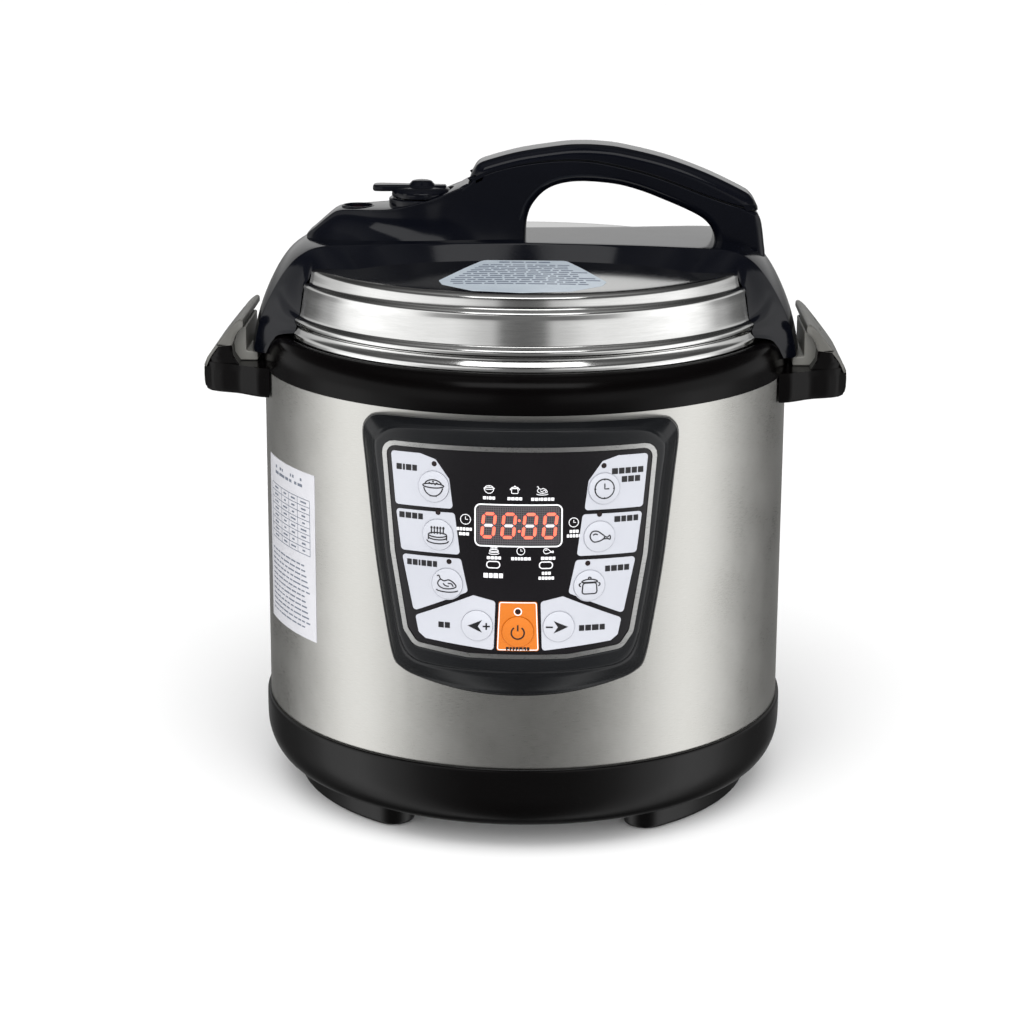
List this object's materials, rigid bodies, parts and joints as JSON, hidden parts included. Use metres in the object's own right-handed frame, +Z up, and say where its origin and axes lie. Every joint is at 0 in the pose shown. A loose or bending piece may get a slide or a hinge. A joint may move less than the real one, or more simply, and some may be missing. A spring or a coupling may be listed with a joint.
{
  "type": "electric pressure cooker",
  "caption": "Countertop electric pressure cooker with brushed steel body, key panel and locking lid with arched handle.",
  "frame": {"origin": "on the floor at the middle of the object, on the pot axis", "axes": "+Z up along the pot axis, -Y towards the control panel, +X to the right when facing the panel"},
  "size_m": [0.3324, 0.3, 0.338],
  "materials": {
    "black_plastic": "glossy moulded black",
    "zinc_sheet": "zinc plated sheet",
    "rubber_pad": "matte",
    "brushed_body": "horizontally brushed stainless",
    "satin_black": "satin, fine spark texture",
    "pressed_steel": "pressed stainless",
    "pot_steel": "satin stainless",
    "cast_aluminium": "cast",
    "element_steel": "heat tinted",
    "spring_steel": "drawn wire",
    "cream_plastic": "moulded",
    "ceramic_white": "glazed",
    "circuit_green": "laminate",
    "panel_black": "glossy dark",
    "silver_trim": "satin silver line",
    "panel_face": "printed film",
    "key_grey": "satin film, pale blue grey",
    "key_orange": "satin film, orange",
    "display_red": "tinted window",
    "lamp_dark": "unlit lamp",
    "label_white": "paper film",
    "label_blue": "film",
    "clear_cup": "clear to milky",
    "screw_steel": "plated",
    "polished_lid": "mirror polished stainless",
    "gloss_black": "glossy blue black",
    "float_red": "moulded",
    "silicone": "translucent white"
  },
  "bodies": {
    "base": {"base_pan": "black_plastic", "bottom_plate": "zinc_sheet", "foot_left": "black_plastic", "foot_right": "black_plastic", "foot_pads": "rubber_pad", "outer_shell": "brushed_body", "top_collar": "black_plastic", "side_handle_left": "satin_black", "side_handle_right": "satin_black", "housing_pot": "pressed_steel", "cooking_pot": "pot_steel", "heating_plate": "cast_aluminium", "heating_element": "element_steel", "plate_legs": "zinc_sheet", "sensor_guide": "zinc_sheet", "sensor_spring": "spring_steel", "pressure_switch": "cream_plastic", "thermal_fuse": "ceramic_white", "power_board": "circuit_green", "power_inlet": "black_plastic", "control_board": "circuit_green", "panel_bezel": "panel_black", "panel_trim": "silver_trim", "panel_overlay": "panel_face", "key_plates": "key_grey", "key_plate_warm": "key_orange", "display_window": "display_red", "display_module": "display_red", "indicator_lamps": "lamp_dark", "side_label": "label_white", "cup_bracket": "black_plastic", "pan_screws": "screw_steel", "panel_screws": "screw_steel", "handle_screws": "screw_steel"},
    "lid_carrier": {"sealing_ring": "silicone", "ring_rack": "spring_steel"},
    "lid": {"lid_shell": "polished_lid", "lid_bridge": "gloss_black", "handle_base": "gloss_black", "grip_cover": "gloss_black", "exhaust_pipe": "screw_steel", "exhaust_nut": "screw_steel", "steam_shield": "pressed_steel", "lid_screws": "screw_steel", "lid_label": "label_blue"},
    "pressure_valve": {"pressure_valve": "gloss_black"},
    "float_valve": {"float_valve": "float_red", "float_seal": "silicone"},
    "temperature_sensor": {"sensor_cap": "pressed_steel"},
    "condensation_cup": {"condensation_cup": "clear_cup"},
    "key_program_1": {"key_program_1": "key_grey"},
    "key_program_2": {"key_program_2": "key_grey"},
    "key_program_3": {"key_program_3": "key_grey"},
    "key_program_4": {"key_program_4": "key_grey"},
    "key_program_5": {"key_program_5": "key_grey"},
    "key_program_6": {"key_program_6": "key_grey"},
    "key_plus": {"key_plus": "key_grey"},
    "key_minus": {"key_minus": "key_grey"},
    "key_power": {"key_power": "key_orange"}
  },
  "joints": [
    {"name": "lid_lift", "type": "slide", "parent": "base", "child": "lid_carrier", "axis": [0, 0, 1], "range_m": [0, 0.12]},
    {"name": "lid_turn", "type": "hinge", "parent": "lid_carrier", "child": "lid", "pos_m": [0, 0, 0.24], "axis": [0, 0, 1], "range_deg": [0, 30]},
    {"name": "pressure_valve_turn", "type": "hinge", "parent": "lid", "child": "pressure_valve", "pos_m": [-0.054, 0, 0.305], "axis": [0, 0, 1], "range_deg": [-35, 35]},
    {"name": "float_valve_rise", "type": "slide", "parent": "lid", "child": "float_valve", "axis": [0, 0, 1], "range_m": [0, 0.004]},
    {"name": "temperature_sensor_press", "type": "slide", "parent": "base", "child": "temperature_sensor", "axis": [0, 0, 1], "range_m": [-0.003, 0], "stiffness_N_per_m": 1000, "springref_m": 0.002, "deforming": ["sensor_spring"]},
    {"name": "condensation_cup_slide", "type": "slide", "parent": "base", "child": "condensation_cup", "axis": [0, 0, -1], "range_m": [0, 0.07]},
    {"name": "key_program_1_press", "type": "slide", "parent": "base", "child": "key_program_1", "axis": [0.2714, 0.9625, 0], "range_m": [0, 0.0008], "stiffness_N_per_m": 600, "springref_m": -0.0006},
    {"name": "key_program_2_press", "type": "slide", "parent": "base", "child": "key_program_2", "axis": [0.258, 0.9661, 0], "range_m": [0, 0.0008], "stiffness_N_per_m": 600, "springref_m": -0.0006},
    {"name": "key_program_3_press", "type": "slide", "parent": "base", "child": "key_program_3", "axis": [0.2279, 0.9737, 0], "range_m": [0, 0.0008], "stiffness_N_per_m": 600, "springref_m": -0.0006},
    {"name": "key_program_4_press", "type": "slide", "parent": "base", "child": "key_program_4", "axis": [-0.2714, 0.9625, 0], "range_m": [0, 0.0008], "stiffness_N_per_m": 600, "springref_m": -0.0006},
    {"name": "key_program_5_press", "type": "slide", "parent": "base", "child": "key_program_5", "axis": [-0.258, 0.9661, 0], "range_m": [0, 0.0008], "stiffness_N_per_m": 600, "springref_m": -0.0006},
    {"name": "key_program_6_press", "type": "slide", "parent": "base", "child": "key_program_6", "axis": [-0.2279, 0.9737, 0], "range_m": [0, 0.0008], "stiffness_N_per_m": 600, "springref_m": -0.0006},
    {"name": "key_plus_press", "type": "slide", "parent": "base", "child": "key_plus", "axis": [0.1314, 0.9913, 0], "range_m": [0, 0.0008], "stiffness_N_per_m": 600, "springref_m": -0.0006},
    {"name": "key_minus_press", "type": "slide", "parent": "base", "child": "key_minus", "axis": [-0.1314, 0.9913, 0], "range_m": [0, 0.0008], "stiffness_N_per_m": 600, "springref_m": -0.0006},
    {"name": "key_power_press", "type": "slide", "parent": "base", "child": "key_power", "axis": [0, 1, 0], "range_m": [0, 0.0008], "stiffness_N_per_m": 600, "springref_m": -0.0006}
  ]
}
